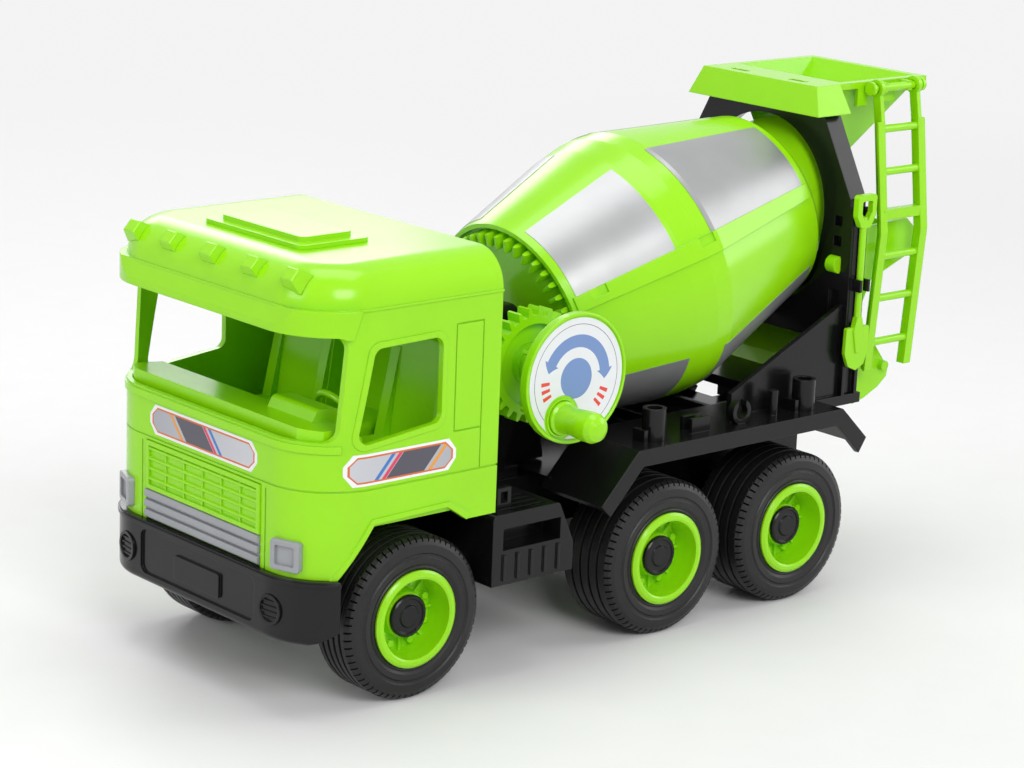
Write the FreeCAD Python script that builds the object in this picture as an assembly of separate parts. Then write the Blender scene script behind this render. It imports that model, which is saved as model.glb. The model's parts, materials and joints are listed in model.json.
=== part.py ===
import FreeCAD, Part
import math
import os

# Toy cement mixer truck, all sizes in millimetres.
# Front of the truck faces -X, up is +Z, the crank is on the -Y side.

V = FreeCAD.Vector
os.makedirs("parts", exist_ok=True)

# ---------------------------------------------------------------- main sizes
run_gap = 0.3              # gap between a turning face and the face round it
side_gap = 1.0             # end play beside wheels and pins

wheel_r = 37.0
axle_r = 2.5
axle_x = {"front": -145.0, "middle": 6.0, "rear": 91.0}
tyre_width = {"front": 26.0, "middle": 34.0, "rear": 34.0}
tread_count = 64
tyre_seat_r = 21.6
hub_r = 9.6
track_out = 76.0           # outer tyre face from the centre plane

cab_front = -205.0
cab_rear = -105.0
cab_half = 80.0
cab_corner = 30.0
cab_wall = 2.6
cab_split = 102.0
cab_roof = 197.0
cab_sill = 63.0
screen_low, screen_top = 123.0, 169.0
roof_round = 17.0
brow_out = 1.4
bumper_out = 3.8
bumper_low = 34.0
floor_z = 84.0

beam_half = 24.0
beam_low = 46.0
beam_top = 72.0

deck_top = 94.0
deck_front = -19.0
deck_rear = 117.0
deck_half = 80.0
well_half = 38.0

arch_front = 134.5
arch_thick = 11.0
arch_top = 231.0
arch_kink = 192.0
arch_half = 60.0
arch_head = 39.0

tilt = 14.6                # drum axis rises to the rear by this many degrees
drum_x = -29.6
drum_z = 139.3
drum_front_r = 49.6
drum_band_s = 59.8
drum_band_r = 64.2
drum_max_s = 77.3
drum_max_r = 66.1
drum_tail_s = 160.0
drum_tail_r = 47.6
collar_r = 38.0
drum_len = 187.0
drum_wall = 2.2
drum_turn = -16.36         # two crown teeth, so the gears stay in mesh at rest
band_wide = 8.6            # degrees of drum covered by each raised seam band

crown_count = 44
pinion_count = 26
gear_module = 1.938
crown_pitch_r = crown_count * gear_module / 2
pinion_pitch_r = pinion_count * gear_module / 2
pinion_tip_r = pinion_pitch_r + 1.5
crown_pitch_s = -2.0
crown_tip_s = -3.5
crank_s = crown_pitch_s - pinion_pitch_r
shaft_r = 4.0
crank_face = -75.0
disc_r = 30.0
disc_thick = 4.0
knob_long = 26.4
hopper_rear = 208.0

arch_mid = arch_front + arch_thick / 2
arch_back = arch_front + arch_thick
sin_t = math.sin(math.radians(tilt))
cos_t = math.cos(math.radians(tilt))
crank_x = drum_x + crank_s * cos_t
crank_z = drum_z + crank_s * sin_t
shift_x = (bumper_out - cab_front - hopper_rear) / 2      # centres the finished box
shift_y = (knob_long - crank_face - cab_half - brow_out) / 2


# ---------------------------------------------------------------- helpers
def box(x0, x1, y0, y1, z0, z1):
    return Part.makeBox(x1 - x0, y1 - y0, z1 - z0, V(x0, y0, z0))


def rod(r, length, at, along):
    return Part.makeCylinder(r, length, V(*at), V(*along))


def tube(r_out, r_in, length, at, along):
    return rod(r_out, length, at, along).cut(rod(r_in, length, at, along))


def wire_of(points):
    pts = [V(*p) for p in points]
    return Part.makePolygon(pts + [pts[0]])


def side_plate(points, y0, y1):
    """Outline drawn in X and Z, thickness from y0 to y1."""
    face = Part.Face(wire_of([(x, y0, z) for x, z in points]))
    return face.extrude(V(0, y1 - y0, 0))


def cross_plate(points, x0, x1):
    """Outline drawn in Y and Z, thickness from x0 to x1."""
    face = Part.Face(wire_of([(x0, y, z) for y, z in points]))
    return face.extrude(V(x1 - x0, 0, 0))


def flat_plate(points, z0, z1):
    """Outline drawn in X and Y, thickness from z0 to z1."""
    face = Part.Face(wire_of([(x, y, z0) for x, y in points]))
    return face.extrude(V(0, 0, z1 - z0))


def six_sided(low, high):
    """Solid between two four-cornered outlines whose edges are parallel."""
    return Part.makeLoft([wire_of(low), wire_of(high)], True, True)


def rect(x0, x1, half, z):
    return [(x0, -half, z), (x1, -half, z), (x1, half, z), (x0, half, z)]


def joined(shapes):
    out = shapes[0]
    if len(shapes) > 1:
        out = out.multiFuse(shapes[1:])
    return out.removeSplitter()


def mirrored(shape):
    return shape.mirror(V(0, 0, 0), V(0, 1, 0))


def both_sides(shape):
    return [shape, mirrored(shape)]


def spun(profile, angle=360.0, start=0.0):
    """Turns an (s, r) outline round the local X axis."""
    pts = [V(s, r, 0) for s, r in profile]
    face = Part.Face(Part.makePolygon(pts + [pts[0]]))
    if start:
        face.rotate(V(0, 0, 0), V(1, 0, 0), start)
    return face.revolve(V(0, 0, 0), V(1, 0, 0), angle)


def on_drum(shape, turn=0.0):
    """Takes a shape drawn along +X onto the tilted drum axis."""
    out = shape.copy()
    if turn:
        out.rotate(V(0, 0, 0), V(1, 0, 0), turn)
    out.rotate(V(0, 0, 0), V(0, 1, 0), -tilt)
    out.translate(V(drum_x, 0, drum_z))
    return out


def softened(shape, radius, test):
    edges = [e for e in shape.Edges if test(e)]
    return shape.makeFillet(radius, edges) if edges else shape


def save(name, shape):
    out = shape.copy()
    out.translate(V(shift_x, shift_y, 0))
    if out.ShapeType == "Compound" and len(out.Solids) == 1:
        out = out.Solids[0]
    out.exportStep("parts/%s.step" % name)
    print(name, len(out.Solids), round(out.Volume))


# ---------------------------------------------------------------- cab outline
def cab_plan(grow, z0, z1, rear_grow=None):
    """Cab seen from above, square at the back and rounded at the front."""
    rear = grow if rear_grow is None else rear_grow
    x0, x1, h = cab_front - grow, cab_rear + rear, cab_half + grow
    r = cab_corner + grow
    q = r * math.sqrt(0.5)
    low = Part.makeLine(V(x1, -h, z0), V(x0 + r, -h, z0))
    arc_a = Part.Arc(V(x0 + r, -h, z0), V(x0 + r - q, -h + r - q, z0), V(x0, -h + r, z0)).toShape()
    front = Part.makeLine(V(x0, -h + r, z0), V(x0, h - r, z0))
    arc_b = Part.Arc(V(x0, h - r, z0), V(x0 + r - q, h - r + q, z0), V(x0 + r, h, z0)).toShape()
    high = Part.makeLine(V(x0 + r, h, z0), V(x1, h, z0))
    back = Part.makeLine(V(x1, h, z0), V(x1, -h, z0))
    face = Part.Face(Part.Wire([low, arc_a, front, arc_b, high, back]))
    return face.extrude(V(0, 0, z1 - z0))


def cab_side_outline():
    return [(cab_front - 20, cab_sill), (-189.5, cab_sill), (-173, floor_z + 2), (-133, floor_z + 3),
            (-122, 79.6), (cab_rear + 20, 79.6), (cab_rear + 20, cab_roof + 20),
            (cab_front - 20, cab_roof + 20)]


def cab_lower_shell():
    outer = cab_plan(0, cab_sill, cab_split)
    inner = cab_plan(-cab_wall, cab_sill - 1, cab_split + 1)
    keep = side_plate(cab_side_outline(), -90, 90)
    shell = outer.cut(inner).common(keep)
    # raised lip along the wheel opening
    lip_line = [(-189.5, cab_sill), (-173, floor_z + 2), (-133, floor_z + 3), (-122, 79.6),
                (-120, 82.0), (-132, floor_z + 5.4), (-174.4, floor_z + 4.4), (-192.2, cab_sill)]
    lip = side_plate(lip_line, -90, 90).common(cab_plan(0.8, cab_sill, cab_split).cut(inner))
    # shallow bed for the grille and the bars, and an upright crease beside it
    bed = box(cab_front - 1, cab_front + grille_sink, -grille_half, grille_half, cab_sill - 1, grille_top)
    crease = joined([box(cab_front - 1, cab_front + 0.5, y - 0.4, y + 0.4, cab_sill - 1, cab_split - 3)
                     for y in (-grille_half - 3.2, grille_half + 3.2)])
    seam = cab_plan(2, cab_split - 0.7, cab_split + 1).cut(cab_plan(-0.5, cab_split - 1, cab_split + 2))
    return joined([shell, lip]).cut(bed).cut(crease).cut(seam)


grille_sink = 1.2
grille_half = 43.0
grille_top = 100.0
grille_split = 77.5


def window_prism(points, y0, y1, r):
    plate = side_plate(points, y0, y1)
    return softened(plate, r, lambda e: abs(e.BoundBox.YLength - (y1 - y0)) < 0.01)


def roof_block(grow, z0, top, r):
    """Cab outline with the roof edge rounded at the front and along both sides."""
    block = cab_plan(grow, z0, top, 0 if grow >= 0 else grow)
    return softened(block, r, lambda e: e.BoundBox.ZMin > top - 0.01 and e.BoundBox.XMin < cab_rear - 12)


def cab_upper_shell():
    outer = roof_block(0, cab_split, cab_roof, roof_round)
    inner = roof_block(-cab_wall, cab_split - 1, cab_roof - cab_wall, roof_round - 2)
    shell = outer.cut(inner)
    # crease round the cab above the windows, and the brow over the windscreen
    band = cab_plan(0.7, 179.0, 180.2, 0).cut(cab_plan(-1, 178, 182))
    brow = cab_plan(3.4, screen_top - 1.0, 180.0, 0).cut(cab_plan(-1, screen_top - 4, 184))
    brow = brow.common(side_plate([(cab_front - 9, screen_top - 1), (-186.6, screen_top - 1), (-183, 180.0),
                                   (cab_front - 0.3, 180.0), (cab_front - 3.0, screen_top + 3.5),
                                   (cab_front - 3.4, screen_top + 1.5)], -90, 90))
    # side windows
    glass = [(-174.6, 162.5), (-138, 163.5), (-138, 126), (-183, 121)]
    window = window_prism(glass, -95, 95, 4.5)
    # raised frame round each side window
    frame_line = [(-177.2, 165.3), (-135.5, 166.3), (-135.5, 123.4), (-186.2, 118.2)]
    frame = window_prism(frame_line, -90, 90, 6.0).common(
        cab_plan(0.6, cab_split, cab_roof).cut(cab_plan(-1, cab_split - 1, cab_roof)))
    # windscreen wraps round both front corners and leaves slim pillars
    screen = six_sided(rect(cab_front - 12, -190.0, 86, screen_low), rect(cab_front - 12, -186.4, 86, screen_top))
    screen = softened(screen, 6.0, lambda e: e.BoundBox.YLength > 160 and e.BoundBox.XMin > -195)
    sill = cab_plan(0.9, screen_low - 4.6, screen_low - 1.2, 0).cut(cab_plan(-1, 110, 130))
    sill = sill.common(box(cab_front - 9, -189, -90, 90, 110, 130))
    # door seam behind the window, and the curved seam on the front corner
    seams = []
    for side in (-1, 1):
        y0, y1 = sorted((side * (cab_half - 0.6), side * (cab_half + 2)))
        seams.append(box(-130.6, -130.0, y0, y1, 120, 168))
        seams.append(box(-115.6, -115, y0, y1, cab_split, 168))
        seams.append(box(-130.6, -115, y0, y1, 167.4, 168))
        seams.append(box(-130.6, -115, y0, y1, 120, 120.6))
    # sunken rear panel
    rear_panel = box(cab_rear - 0.8, cab_rear + 1, -60, 60, 118, 176)
    shell = joined([shell, band, brow, frame, sill])
    for piece in [window, screen, rear_panel] + seams:
        shell = shell.cut(piece)
    return shell


def cab_floor():
    plate = cab_plan(-cab_wall, floor_z, floor_z + 3)
    keep = box(cab_front, cab_rear, -90, 90, floor_z, floor_z + 3)
    tunnel = box(-168, cab_rear - cab_wall, -15, 15, floor_z + 3, floor_z + 24)
    tunnel = softened(tunnel, 3.0, lambda e: abs(e.BoundBox.XLength) > 50 and e.BoundBox.ZMin > floor_z + 23)
    tray = box(-164, -126, -11, 11, floor_z + 21.5, floor_z + 26)
    return joined([plate.common(keep), tunnel]).cut(tray)


def seat(y_mid):
    x0, z0 = -150.0, floor_z + 3
    base = box(x0, x0 + 34, y_mid - 24, y_mid + 24, z0, z0 + 18)
    base = softened(base, 4.0, lambda e: e.BoundBox.ZMin > z0 + 17)
    back_line = [(x0 + 26, z0 + 14), (x0 + 36, z0 + 12), (x0 + 42, z0 + 66), (x0 + 34, z0 + 68)]
    back = side_plate(back_line, y_mid - 22, y_mid + 22)
    back = softened(back, 3.4, lambda e: e.BoundBox.ZMax > z0 + 65 and e.BoundBox.YLength > 40)
    bolster = joined([side_plate([(x0 + 23, z0 + 18), (x0 + 30, z0 + 18), (x0 + 36.5, z0 + 58),
                                  (x0 + 32, z0 + 58)], y_mid + k - 3, y_mid + k + 3)
                      for k in (-18, 18)])
    return joined([base, back, bolster])


def dashboard():
    z0 = floor_z + 3
    line = [(-200, z0 + 8), (-186, z0 + 8), (-176, z0 + 18), (-172, z0 + 34), (-178, z0 + 39),
            (-200, z0 + 41)]
    body = side_plate(line, -70, 70)
    body = softened(body, 2.0, lambda e: e.BoundBox.YLength > 130 and e.BoundBox.XMin > -179)
    hood = side_plate([(-188, z0 + 38), (-171, z0 + 33), (-172, z0 + 44), (-184, z0 + 45)], -54, -22)
    hood = softened(hood, 3.0, lambda e: e.BoundBox.YLength > 20 and e.BoundBox.ZMin > z0 + 42)
    column = rod(3.0, 15, (-174, -38, z0 + 28), (0.86, 0, 0.5))
    wheel = Part.makeTorus(12.0, 1.5, V(-174 + 13.2, -38, z0 + 28 + 7.7), V(0.86, 0, 0.5))
    spoke = rod(1.2, 24, (-174 + 13.2, -50, z0 + 28 + 7.7), (0, 1, 0))
    legs = [box(-198, -180, y, y + 6, z0, z0 + 12) for y in (-60, 54)]
    return joined([body, hood, column, wheel, spoke] + legs).common(cab_plan(-cab_wall - run_gap, z0, cab_roof - 10))


def roof_hatch():
    low = box(-181, -143, -36, 36, cab_roof, cab_roof + 2.0)
    high = box(-176, -148, -30, 30, cab_roof + 2.0, cab_roof + 4.2)
    low = softened(low, 4.0, lambda e: abs(e.BoundBox.ZLength - 2.0) < 0.01)
    high = softened(high, 3.5, lambda e: abs(e.BoundBox.ZLength - 2.2) < 0.01)
    return joined([low, high])


def marker_lamps():
    """Five small lamps that stand on the rounded front edge of the roof."""
    lamps = []
    solid_roof = roof_block(0, cab_split, cab_roof, roof_round)
    lean = 42.0
    a = math.radians(lean)
    mid_x = cab_front + roof_round - roof_round * math.cos(a)
    mid_z = cab_roof - roof_round + roof_round * math.sin(a)
    for y in (-58, -30, 0, 30, 58):
        lamp = six_sided([(-3.0, -5.6, -5.0), (-3.0, 5.6, -5.0), (-3.0, 5.6, 5.0), (-3.0, -5.6, 5.0)],
                         [(4.0, -3.6, -3.0), (4.0, 3.6, -3.0), (4.0, 3.6, 3.0), (4.0, -3.6, 3.0)])
        lamp = softened(lamp, 0.8, lambda e: e.BoundBox.XMin > 3.99)
        lamp.rotate(V(0, 0, 0), V(0, 0, 1), 180)
        lamp.rotate(V(0, 0, 0), V(0, 1, 0), lean)
        lamp.translate(V(mid_x, y, mid_z))
        lamps.append(lamp.cut(solid_roof))
    return Part.makeCompound(lamps)


def headlights():
    lamps = []
    solid_cab = cab_plan(0, cab_sill - 2, cab_split)
    for side in (-1, 1):
        body = box(-9, 2.4, -7.4, 7.4, -6.8, 6.8)
        body = softened(body, 1.6, lambda e: e.BoundBox.XLength > 9)
        body = softened(body, 0.7, lambda e: e.BoundBox.XMin > 2.39 and e.Length > 8)
        pocket = softened(box(1.0, 3, -4.9, 4.9, -4.3, 4.3), 0.8, lambda e: e.BoundBox.XLength > 1.9)
        lamp = corner_place(body.cut(pocket), side, lamp_turn, cab_corner, lamp_z)
        lamps.append(lamp.cut(solid_cab))
    return Part.makeCompound(lamps)


lamp_turn = 19.0           # how far round the front corner each headlight sits
lamp_z = 72.6


def grille():
    x0, x1 = cab_front - 0.8, cab_front + grille_sink
    h = grille_half - run_gap
    ring = box(x0, x1, -h, h, grille_split, grille_top - run_gap)
    ring = ring.cut(box(x0 - 1, x1 - 0.8, -h + 2.4, h - 2.4, grille_split + 2.0, grille_top - 2.4))
    slats = []
    for k in range(4):
        z = grille_split + 4.6 + k * 4.6
        slats.append(side_plate([(x1, z - 1.5), (x0 + 0.1, z - 0.2), (x0 + 0.1, z + 0.8),
                                 (x1, z + 1.5)], -h + 1, h - 1))
    bars = [box(x0 + 0.5, x1, y - 0.6, y + 0.6, grille_split + 1, grille_top - 2) for y in (-28, -14, 0, 14, 28)]
    return joined([ring] + slats + bars)


def grille_bar():
    h = grille_half - run_gap
    low = cab_sill + 0.6
    plate = box(cab_front + 0.2, cab_front + grille_sink, -h, h, low, grille_split)
    bars = []
    pitch = (grille_split - low) / 3.0
    for k in range(3):
        bar = box(cab_front - 1.4, cab_front + 0.6, -h, h, low + k * pitch + 0.7, low + (k + 1) * pitch - 0.5)
        bars.append(softened(bar, 0.6, lambda e: e.BoundBox.YLength > 60 and e.BoundBox.XMax < cab_front - 1))
    return joined([plate] + bars)


def hex_outline(a0, a1, b0, b1, nose):
    mid = (b0 + b1) / 2
    return [(a0 + nose, b0), (a1 - nose, b0), (a1, mid - 2), (a1, mid + 2), (a1 - nose, b1),
            (a0 + nose, b1), (a0, mid + 2), (a0, mid - 2)]


def side_labels():
    skin = cab_plan(0.25, cab_split, 121).cut(cab_plan(0, cab_split - 1, 122))
    outline = side_plate(hex_outline(-188, -129, 103.6, 117.6, 4), -95, 95)
    patch = skin.common(outline)
    return Part.makeCompound(patch.Solids)


def front_label():
    x0 = cab_front - 0.25
    return cross_plate(hex_outline(-40, 40, 103.6, 117.2, 4), x0, cab_front)


# ---------------------------------------------------------------- bumper and chassis
def bumper_plan(grow, z0, z1):
    body = cab_plan(3 + grow, z0, z1)
    limit = box(cab_front - 20, -192, -100, 100, z0, z1)
    return body.common(limit)


def front_bumper():
    rear = -189.5
    outer = cab_plan(bumper_out - 0.8, bumper_low, cab_sill)
    keep = side_plate([(cab_front - 9, bumper_low), (-200, bumper_low), (rear, bumper_low + 6.5),
                       (rear, cab_sill), (cab_front - 9, cab_sill)], -cab_half, cab_half)
    outer = outer.common(keep)
    outer = softened(outer, 3.0, lambda e: e.BoundBox.ZMax < bumper_low + 0.01 and e.BoundBox.XMax < -200.5)
    inner = cab_plan(-2.5, bumper_low - 2, cab_sill - 3.5)
    shell = outer.cut(inner)
    tongue = box(-201, -188, -beam_half, beam_half, 46, cab_sill - 3.5)
    shell = shell.fuse(tongue)
    # long rounded recess across the middle, with a bare number plate in it
    recess = softened(box(cab_front - 5, cab_front - 1.8, -43, 43, 38.5, 59.0), 4.0,
                      lambda e: e.BoundBox.XLength > 3)
    plate = softened(box(cab_front - 3.0, cab_front - 1.0, -17, 17, 42.0, 53.0), 1.2,
                     lambda e: e.BoundBox.XLength > 1.9)
    shell = shell.cut(recess).fuse(plate)
    lip = cab_plan(bumper_out, cab_sill - 2.4, cab_sill - 0.8).cut(cab_plan(1, cab_sill - 4, cab_sill)).common(
        box(cab_front - 9, rear, -cab_half, cab_half, 50, cab_sill))
    body = joined([shell, lip])
    for side in (-1, 1):
        body = body.cut(fog_place(rod(fog_r, 12, (-3.0, 0, 0), (1, 0, 0)), side))
    return body


fog_turn = 7.0             # how far round the front corner each fog lamp sits
fog_r = 6.8
fog_z = 47.6




def corner_place(shape, side, turn, r, z):
    """Local +X points out of the front corner, `turn` degrees round it."""
    out = shape.copy()
    out.rotate(V(0, 0, 0), V(0, 0, 1), 180.0 - side * turn)
    a = math.radians(turn)
    out.translate(V(cab_front + cab_corner - r * math.cos(a), side * (cab_half - cab_corner + r * math.sin(a)), z))
    return out


def fog_place(shape, side):
    return corner_place(shape, side, fog_turn, cab_corner + 3.0, fog_z)


def fog_lamp_body():
    body = rod(fog_r, 3.6, (-3.0, 0, 0), (1, 0, 0))
    dish = rod(fog_r - 1.4, 2, (-0.4, 0, 0), (1, 0, 0))
    ribs = [box(-0.8, 0.2, -fog_r, fog_r, k - 0.4, k + 0.4).common(rod(fog_r - 1, 5, (-3, 0, 0), (1, 0, 0)))
            for k in (-3.6, -1.2, 1.2, 3.6)]
    return joined([body.cut(dish)] + ribs)


def fog_lamps():
    return Part.makeCompound([fog_place(fog_lamp_body(), side) for side in (-1, 1)])


def chassis_frame():
    beam = box(-188, 146, -beam_half, beam_half, beam_low, beam_top)
    hollow = box(-184, 142, -beam_half + 3.5, beam_half - 3.5, beam_low - 1, beam_top - 4)
    beam = beam.cut(hollow)
    parts = [beam]
    for x in range(-170, 140, 36):
        parts.append(box(x, x + 3, -beam_half + 1, beam_half - 1, beam_low, beam_top - 2))
    for name, x in axle_x.items():
        reach = track_out - tyre_width[name] - 2 - side_gap
        block = box(x - 9, x + 9, -reach, reach, 30, 56)
        block = softened(block, 4.0, lambda e: e.BoundBox.ZMax < 30.01 and e.BoundBox.YLength > 40)
        parts.append(block)
    # riser that carries the cab floor
    parts.append(box(-184, -112, -beam_half, beam_half, beam_top - 1, floor_z))
    # brackets between the beam and the side steps
    body = joined(parts)
    for name, x in axle_x.items():
        body = body.cut(rod(axle_r + run_gap, 140, (x, -70, wheel_r), (0, 1, 0)))
    screws = [(-176, 0), (-118, 0), (-60, 0), (50, 0), (130, 0)]
    for x, y in screws:
        body = body.cut(rod(1.6, 40, (x, y, 58), (0, 0, 1)).cut(box(-300, 300, -90, 90, beam_top - 1.4, 120)))
    return body


def side_step(side):
    x0, x1 = -104.0, -56.0
    line = [(x0, 44), (x1, 44), (x1, 57), (x1 - 9, 77), (x0, 77)]
    y0, y1 = -78.0, -beam_half
    body = side_plate(line, y0, y1)
    body = softened(body, 2.5, lambda e: e.BoundBox.YLength > 50 and e.BoundBox.ZMin > 76)
    hollow = box(x0 + 3, x1 - 3, y0 + 3, y1 - 3, 40, 55)
    recess = box(x0 + 6, x1 - 8, y0 - 1, y0 + 12, 60, 70)
    tread = [box(x0 + 8, x1 - 14, y, y + 1.6, 76, 78) for y in (-74, -69, -64, -59)]
    body = body.cut(hollow).cut(recess)
    for rib in tread:
        body = body.cut(rib)
    ribs = [box(x, x + 1.5, y0 - 0.9, y0, 46, 58) for x in (-98, -90, -82, -74, -66)]
    loop = box(-97, -89, -72, -69, 77, 87).cut(box(-95, -91, -73, -68, 80, 85))
    body = joined([body, loop] + ribs)
    return body if side < 0 else mirrored(body)


# ---------------------------------------------------------------- wheels
def tyre(name):
    w = tyre_width[name]
    r = wheel_r
    pts = [(1.0, tyre_seat_r), (0.4, tyre_seat_r + 1.6), (0.9, tyre_seat_r + 2.2),
           (0.2, tyre_seat_r + 3.6), (0.0, tyre_seat_r + 6.0), (0.6, tyre_seat_r + 6.6),
           (0.6, tyre_seat_r + 7.6), (0.0, tyre_seat_r + 8.2), (0.4, r - 3.8), (1.5, r - 1.3), (3.4, r)]
    grooves = 4
    land = (w - 7.2 - grooves * 1.6) / (grooves + 1)
    t = 3.6
    for _ in range(grooves):
        t += land
        pts += [(t, r), (t + 0.3, r - 2.0), (t + 1.3, r - 2.0), (t + 1.6, r)]
        t += 1.6
    back = [(w - a, b) for a, b in reversed(pts[:11])]
    body = spun(pts + back)
    cuts = []
    for k in range(tread_count):
        for t0 in (-0.5, w - 3.9):
            notch = box(t0, t0 + 4.4, -0.4, 0.4, r - 2.4, r + 2)
            notch.rotate(V(0, 0, 0), V(1, 0, 0), 360.0 * k / tread_count)
            cuts.append(notch)
    return body.cut(Part.makeCompound(cuts))


def rim(name):
    w = tyre_width[name]
    r = tyre_seat_r
    barrel = [(-0.8, r - 3.4), (-1.3, r - 2.4), (-1.1, r - 0.8), (-0.2, r + 0.5), (0.9, r + 0.4), (1.0, r),
              (w - 1.0, r), (w - 1.0, r - 2.5), (14.6, r - 2.5), (14.6, hub_r - 1), (w + 2, 7.0),
              (w + 2, axle_r), (7.0, axle_r), (7.0, hub_r + 0.6), (10.5, hub_r + 1.2), (12.4, hub_r + 2.0),
              (12.4, r - 4.6), (8.0, r - 3.8), (3.0, r - 3.4)]
    body = spun(barrel)
    extra = []
    mid = (hub_r + r - 2.6) / 2
    for k in range(8):
        a = math.radians(45 * k + 22.5)
        extra.append(rod(1.7, 3.4, (10.0, mid * math.sin(a), mid * math.cos(a)), (1, 0, 0)))
        rib = box(10.9, 12.9, -0.7, 0.7, hub_r + 1, r - 4.4)
        rib.rotate(V(0, 0, 0), V(1, 0, 0), 45 * k)
        extra.append(rib)
    return joined([body] + extra)


def hub_cap(name):
    pts = [(7.0, 0.0), (7.0, hub_r - 0.5), (6.3, hub_r), (5.0, hub_r), (4.4, hub_r - 0.7), (4.4, hub_r - 1.7),
           (5.0, hub_r - 2.0), (5.0, 5.2), (4.2, 4.6), (4.2, 0.0)]
    return spun(pts)


def place_wheel(shape, name, side):
    """Local X runs inward from the tyre's outer face."""
    out = shape.copy()
    out.rotate(V(0, 0, 0), V(0, 0, 1), 90)
    out.translate(V(axle_x[name], -track_out, wheel_r))
    return out if side < 0 else mirrored(out)


def axle(name):
    end = track_out - 7.0
    return rod(axle_r, 2 * end, (axle_x[name], -end, wheel_r), (0, 1, 0))


# ---------------------------------------------------------------- rear deck
def deck_band(thick, y0, y1, extra=0.0):
    """Flat top with a sloping guard at each end."""
    top = [(-41, 71), (deck_front, deck_top), (deck_rear, deck_top), (135, 77)]
    low = [(135 - 0.6 * thick, 77 - 0.9 * thick), (deck_rear - 0.4 * thick, deck_top - thick),
           (deck_front + 0.4 * thick, deck_top - thick), (-41 + 0.7 * thick, 71 - 0.7 * thick)]
    return side_plate(top + low, y0, y1)


def cup(x, y):
    return tube(5.7, 3.7, 15.0, (x, y, deck_top), (0, 0, 1))


def deck_sockets():
    return Part.makeCompound([cup(x, side * 68.0) for side in (-1, 1) for x in (1.0, 101.0)])


def rear_deck():
    parts = []
    for side in (-1, 1):
        y_in, y_out = side * well_half, side * deck_half
        a, b = sorted((y_in, y_out))
        parts.append(deck_band(4.0, a, b))
        c, d = sorted((side * (deck_half - 3.0), side * deck_half))
        parts.append(deck_band(8.0, c, d))
        e, f = sorted((side * well_half, side * (well_half + 3)))
        parts.append(side_plate([(-38, beam_top), (132, beam_top), (132, 79), (deck_rear, deck_top - 2),
                                 (deck_front, deck_top - 2), (-38, 72.5)], e, f))
        for x in (1.0, 101.0):
            stop = sorted((side * 64, side * 72))
            parts.append(box(x - 9.6, x - 7.4, stop[0], stop[1], deck_top, deck_top + 6))
        # hook, peg and small ribs along the deck edge
        hook = tube(6.0, 3.6, 4.0, (55, side * 70 - 2, deck_top + 5.6), (0, 1, 0))
        hook = hook.cut(box(52.4, 57.6, side * 70 - 4, side * 70 + 4, deck_top + 6, deck_top + 14))
        parts.append(hook)
        parts.append(rod(2.4, 12.0, (80, side * 68, deck_top), (0, 0, 1)))
        parts.append(box(22, 34, *sorted((side * 64, side * 66)), deck_top, deck_top + 7))
        parts.append(box(22, 34, *sorted((side * 70, side * 72)), deck_top, deck_top + 7))
        # gusset that runs up to the arch
        k, m = sorted((side * 56.5, side * 59.5))
        parts.append(side_plate([(60, deck_top - 2), (60, 105), (arch_front, 140), (arch_front, deck_top - 2)],
                                k, m))
    # floor of the well under the drum, and the platform under the arch
    parts.append(box(-38, 132, -well_half - 3, well_half + 3, beam_top, beam_top + 3))
    parts.append(box(112, arch_back + 3, -62, 62, deck_top - 5, deck_top))
    parts.append(box(arch_back, arch_back + 3, -beam_half - 10, beam_half + 10, beam_top, deck_top - 2))
    parts.append(box(131, arch_back + 1, -beam_half, beam_half, beam_top, beam_top + 3))
    for x in (20, 60, 100):
        parts.append(box(x, x + 3, -well_half, well_half, beam_top + 2, beam_top + 9))
    return joined(parts)


# ---------------------------------------------------------------- drum
def drum_outline():
    return [(0.0, drum_front_r), (drum_band_s, drum_band_r), (drum_max_s - 6, drum_max_r),
            (drum_max_s + 4, drum_max_r), (drum_tail_s, drum_tail_r), (drum_tail_s + 4, drum_tail_r - 3.4),
            (drum_tail_s + 6, collar_r), (drum_len, collar_r)]


def outline_radius(s):
    pts = drum_outline()
    for (s0, r0), (s1, r1) in zip(pts, pts[1:]):
        if s0 <= s <= s1:
            return r0 + (r1 - r0) * (s - s0) / (s1 - s0)
    return pts[-1][1]


def drum_wall_profile():
    outer = drum_outline()
    front = 4.0
    inner = [(drum_len, collar_r - drum_wall), (drum_tail_s + 3.4, collar_r - drum_wall),
             (drum_tail_s + 1.0, drum_tail_r - 5.2), (drum_tail_s - 1, drum_tail_r - drum_wall),
             (drum_max_s + 4, drum_max_r - drum_wall), (drum_max_s - 6, drum_max_r - drum_wall),
             (drum_band_s, drum_band_r - drum_wall),
             (front + 2.4, outline_radius(front + 2.4) - drum_wall)]
    wall = [(front + 2.4, 5.0), (front, 5.0), (front, drum_front_r - drum_wall), (0.0, drum_front_r - drum_wall)]
    return outer + inner + wall


def crown_peg(k):
    """One tooth standing forward from the front wall of the drum."""
    half_base, half_tip = 1.25, 0.65
    pts = [(4.5, -half_base), (-1.6, -half_base), (crown_tip_s, -half_tip), (crown_tip_s, half_tip),
           (-1.6, half_base), (4.5, half_base)]
    r0, r1 = crown_pitch_r - 3.0, crown_pitch_r + 3.0
    face = Part.Face(wire_of([(s, y, r0) for s, y in pts]))
    peg = face.extrude(V(0, 0, r1 - r0))
    peg.rotate(V(0, 0, 0), V(1, 0, 0), 360.0 * (k + 0.5) / crown_count + 90.0)
    return peg


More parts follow.
